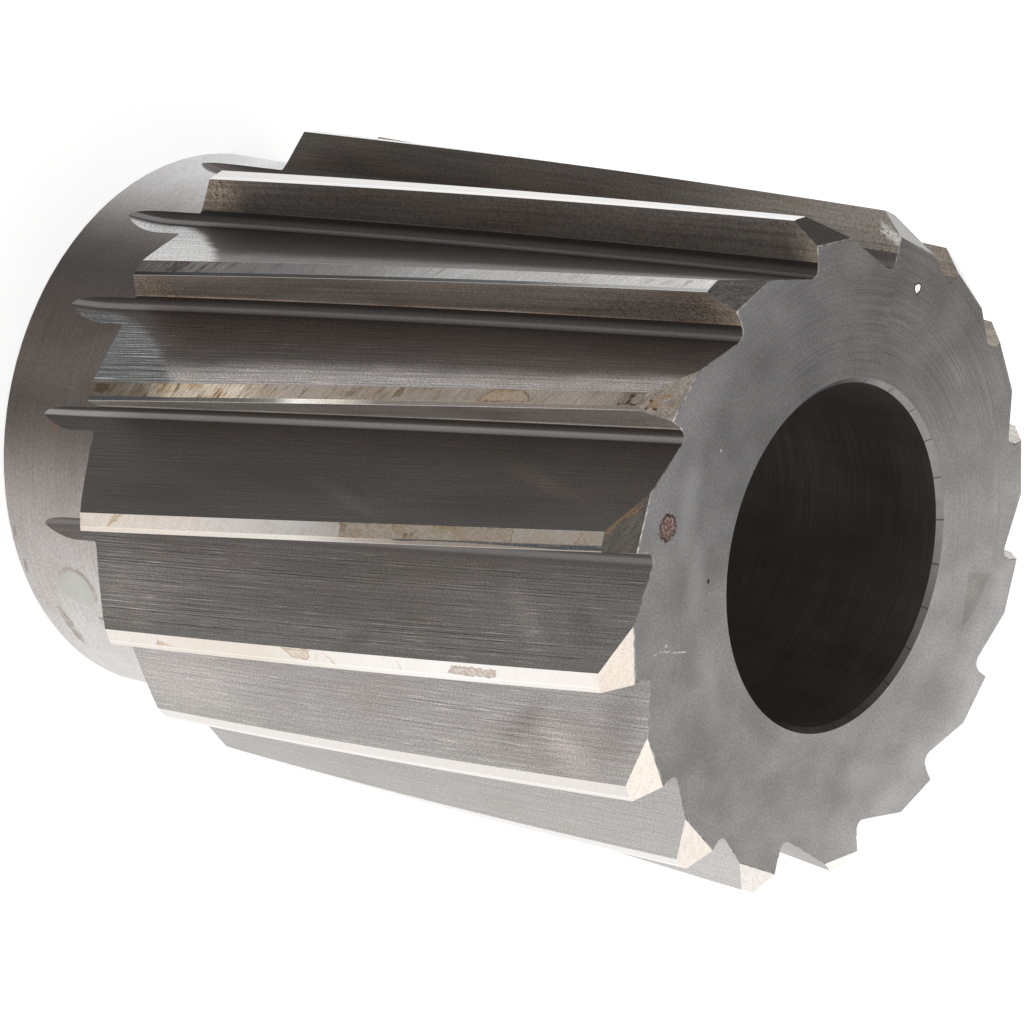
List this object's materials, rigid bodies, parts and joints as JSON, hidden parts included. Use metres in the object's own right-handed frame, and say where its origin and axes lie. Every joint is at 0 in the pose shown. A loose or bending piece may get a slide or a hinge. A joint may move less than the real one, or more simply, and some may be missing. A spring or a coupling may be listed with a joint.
{
  "type": "shell reamer",
  "caption": "Solid shell reamer with left-hand helical cutting teeth, a tapered bore for an arbor and driving slots across its back end.",
  "frame": {"origin": "centre of the driving end face, on which the reamer stands", "axes": "+Z along the bore towards the cutting face, +X through the driving slots"},
  "size_m": [0.0984, 0.0984, 0.127],
  "materials": {
    "tool_steel": "ground and milled high-speed steel with a satin sheen and light stains"
  },
  "bodies": {
    "root": {"reamer_body": "tool_steel"}
  },
  "joints": []
}
